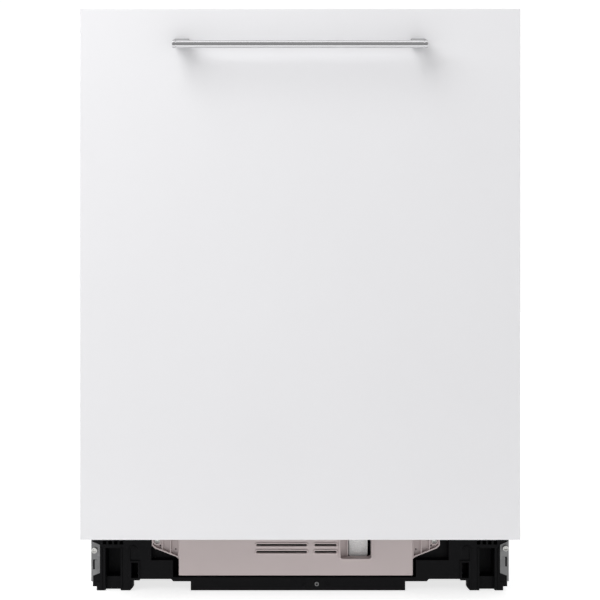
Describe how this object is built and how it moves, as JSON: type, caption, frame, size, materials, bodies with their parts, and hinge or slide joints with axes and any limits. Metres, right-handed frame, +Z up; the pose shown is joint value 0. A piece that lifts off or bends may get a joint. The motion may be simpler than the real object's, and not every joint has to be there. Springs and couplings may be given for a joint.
{
  "type": "dishwasher",
  "caption": "Built-in dishwasher with a plain furniture front and bar handle, drop-down door, two racks, cutlery tray, spray arms and plinth base.",
  "frame": {"origin": "middle of the footprint on the floor, feet screwed in, door shut and racks in", "axes": "+Z up, the front with its handle faces -Y, +X to the right as seen from the front"},
  "size_m": [0.598, 0.607, 0.815],
  "materials": {
    "white_lacquer": "fibreboard with a smooth satin white lacquer",
    "brushed_handle": "fine brushed steel, satin",
    "black_moulding": "black moulded plastic, fine grain",
    "rose_moulding": "warm grey-rose moulded plastic, satin",
    "galvanised": "galvanised sheet steel, dull",
    "stainless": "bright stainless sheet",
    "grey_plastic": "grey moulded plastic",
    "white_plastic": "white moulded plastic",
    "rack_coat": "grey nylon coating on wire",
    "seal_rubber": "black rubber",
    "foam": "white expanded foam, grainy",
    "felt": "black bitumen felt",
    "zinc_screw": "zinc-plated steel",
    "display_glass": "black glass"
  },
  "bodies": {
    "cabinet": {"base_tray": "black_moulding", "side_panel_left": "galvanised", "side_panel_right": "galvanised", "rear_panel": "galvanised", "top_cross_rail": "galvanised", "top_insulation": "felt", "tub": "stainless", "tub_seal": "seal_rubber", "door_strike": "zinc_screw", "sump": "grey_plastic", "filter_plate": "stainless", "lower_arm_hub": "grey_plastic", "circulation_pump": "black_moulding", "drain_pump": "black_moulding", "softener_tank": "white_plastic", "inlet_valve": "white_plastic", "drain_connector": "black_moulding", "power_gland": "black_moulding", "feed_pipe": "grey_plastic", "kick_cover": "rose_moulding", "case_screws": "zinc_screw", "hinge_brackets": "galvanised", "balance_springs": "zinc_screw", "upper_rack_rails": "stainless", "tray_rails": "stainless"},
    "door": {"furniture_panel": "white_lacquer", "handle_bar": "brushed_handle", "handle_posts": "brushed_handle", "front_screws": "zinc_screw", "door_outer_sheet": "galvanised", "door_liner": "stainless", "dispenser_body": "grey_plastic", "control_fascia": "black_moulding", "display_window": "display_glass", "door_lock": "black_moulding", "hinge_arms": "galvanised"},
    "power_button": {"power_button": "grey_plastic"},
    "program_button": {"program_button": "grey_plastic"},
    "start_button": {"start_button": "grey_plastic"},
    "detergent_lid": {"detergent_lid": "grey_plastic"},
    "rinse_aid_cap": {"rinse_aid_cap": "grey_plastic"},
    "lower_rack": {"lower_rack": "rack_coat"},
    "folding_tines": {"folding_tines": "rack_coat"},
    "front_wheels": {"lower_wheels_front": "grey_plastic"},
    "rear_wheels": {"lower_wheels_rear": "grey_plastic"},
    "upper_rack": {"upper_rack": "rack_coat"},
    "upper_slides": {"upper_rack_slides": "stainless"},
    "upper_spray_arm": {"upper_spray_arm": "grey_plastic"},
    "cup_shelf": {"cup_shelf": "grey_plastic"},
    "cutlery_tray": {"cutlery_tray": "rack_coat"},
    "tray_slides": {"tray_slides": "stainless"},
    "lower_spray_arm": {"lower_spray_arm": "grey_plastic"},
    "top_spray_arm": {"top_spray_arm": "grey_plastic"},
    "filter_cup": {"filter_cup": "grey_plastic"},
    "salt_cap": {"salt_cap": "grey_plastic"},
    "leak_float": {"leak_float": "foam"},
    "front_foot_left": {"front_foot_left": "black_moulding"},
    "front_foot_right": {"front_foot_right": "black_moulding"},
    "rear_foot": {"rear_foot": "black_moulding"},
    "rear_foot_spindle": {"rear_foot_spindle": "galvanised"}
  },
  "joints": [
    {"name": "door_hinge", "type": "hinge", "parent": "cabinet", "child": "door", "pos_m": [0, -0.2235, 0.104], "axis": [1, 0, 0], "range_deg": [0, 90]},
    {"name": "power_press", "type": "slide", "parent": "door", "child": "power_button", "axis": [0, 0, -1], "range_m": [0, 0.001], "stiffness_N_per_m": 300},
    {"name": "program_press", "type": "slide", "parent": "door", "child": "program_button", "axis": [0, 0, -1], "range_m": [0, 0.001], "stiffness_N_per_m": 300},
    {"name": "start_press", "type": "slide", "parent": "door", "child": "start_button", "axis": [0, 0, -1], "range_m": [0, 0.001], "stiffness_N_per_m": 300},
    {"name": "detergent_slide", "type": "slide", "parent": "door", "child": "detergent_lid", "axis": [1, 0, 0], "range_m": [0, 0.064]},
    {"name": "rinse_cap_hinge", "type": "hinge", "parent": "door", "child": "rinse_aid_cap", "pos_m": [0.074, -0.175, 0.431], "axis": [1, 0, 0], "range_deg": [0, 100]},
    {"name": "lower_rack_slide", "type": "slide", "parent": "cabinet", "child": "lower_rack", "axis": [0, -1, 0], "range_m": [0, 0.15]},
    {"name": "tines_fold", "type": "hinge", "parent": "lower_rack", "child": "folding_tines", "pos_m": [0, 0.1355, 0.1952], "axis": [-1, 0, 0], "range_deg": [0, 86]},
    {"name": "front_wheels_roll", "type": "hinge", "parent": "lower_rack", "child": "front_wheels", "pos_m": [0, -0.0405, 0.1673], "axis": [1, 0, 0], "range_deg": [0, 505.65]},
    {"name": "rear_wheels_roll", "type": "hinge", "parent": "lower_rack", "child": "rear_wheels", "pos_m": [0, 0.1935, 0.1673], "axis": [1, 0, 0], "range_deg": [0, 505.65]},
    {"name": "upper_rack_slide", "type": "slide", "parent": "cabinet", "child": "upper_rack", "axis": [0, -1, 0], "range_m": [0, 0.4]},
    {"name": "upper_slides_run", "type": "slide", "parent": "cabinet", "child": "upper_slides", "axis": [0, -1, 0], "range_m": [0, 0.2]},
    {"name": "upper_arm_spin", "type": "hinge", "parent": "upper_rack", "child": "upper_spray_arm", "pos_m": [0, 0.043, 0.466], "axis": [0, 0, 1], "continuous": true},
    {"name": "cup_shelf_fold", "type": "hinge", "parent": "upper_rack", "child": "cup_shelf", "pos_m": [-0.236, 0, 0.588], "axis": [0, -1, 0], "range_deg": [0, 85]},
    {"name": "cutlery_tray_slide", "type": "slide", "parent": "cabinet", "child": "cutlery_tray", "axis": [0, -1, 0], "range_m": [0, 0.4]},
    {"name": "tray_slides_run", "type": "slide", "parent": "cabinet", "child": "tray_slides", "axis": [0, -1, 0], "range_m": [0, 0.2]},
    {"name": "lower_arm_spin", "type": "hinge", "parent": "cabinet", "child": "lower_spray_arm", "pos_m": [-0.03, 0.043, 0.168], "axis": [0, 0, 1], "continuous": true},
    {"name": "top_arm_spin", "type": "hinge", "parent": "cabinet", "child": "top_spray_arm", "pos_m": [0, 0.043, 0.769], "axis": [0, 0, 1], "continuous": true},
    {"name": "filter_turn", "type": "hinge", "parent": "cabinet", "child": "filter_cup", "pos_m": [0.037, 0.043, 0.138], "axis": [0, 0, 1], "range_deg": [0, 60]},
    {"name": "salt_cap_turn", "type": "hinge", "parent": "cabinet", "child": "salt_cap", "pos_m": [-0.18, 0.1295, 0.138], "axis": [0, 0, 1], "range_deg": [0, 540]},
    {"name": "float_rise", "type": "slide", "parent": "cabinet", "child": "leak_float", "axis": [0, 0, 1], "range_m": [0, 0.006]},
    {"name": "front_foot_left_extend", "type": "slide", "parent": "cabinet", "child": "front_foot_left", "axis": [0, 0, -1], "range_m": [0, 0.06]},
    {"name": "front_foot_right_extend", "type": "slide", "parent": "cabinet", "child": "front_foot_right", "axis": [0, 0, -1], "range_m": [0, 0.06]},
    {"name": "rear_foot_extend", "type": "slide", "parent": "cabinet", "child": "rear_foot", "axis": [0, 0, -1], "range_m": [0, 0.06]},
    {"name": "rear_spindle_turn", "type": "hinge", "parent": "cabinet", "child": "rear_foot_spindle", "pos_m": [0.024, -0.1955, 0.0097], "axis": [0, -1, 0], "continuous": true}
  ],
  "couplings": [
    {"joint": "lower_rack_slide", "follows": "door_hinge", "m_per_rad": 0.095492},
    {"joint": "upper_rack_slide", "follows": "door_hinge", "m_per_rad": 0.25465},
    {"joint": "upper_slides_run", "follows": "door_hinge", "m_per_rad": 0.12732},
    {"joint": "cutlery_tray_slide", "follows": "door_hinge", "m_per_rad": 0.25465},
    {"joint": "tray_slides_run", "follows": "door_hinge", "m_per_rad": 0.12732},
    {"joint": "front_wheels_roll", "follows": "door_hinge", "ratio": 5.6172},
    {"joint": "rear_wheels_roll", "follows": "door_hinge", "ratio": 5.6172}
  ]
}
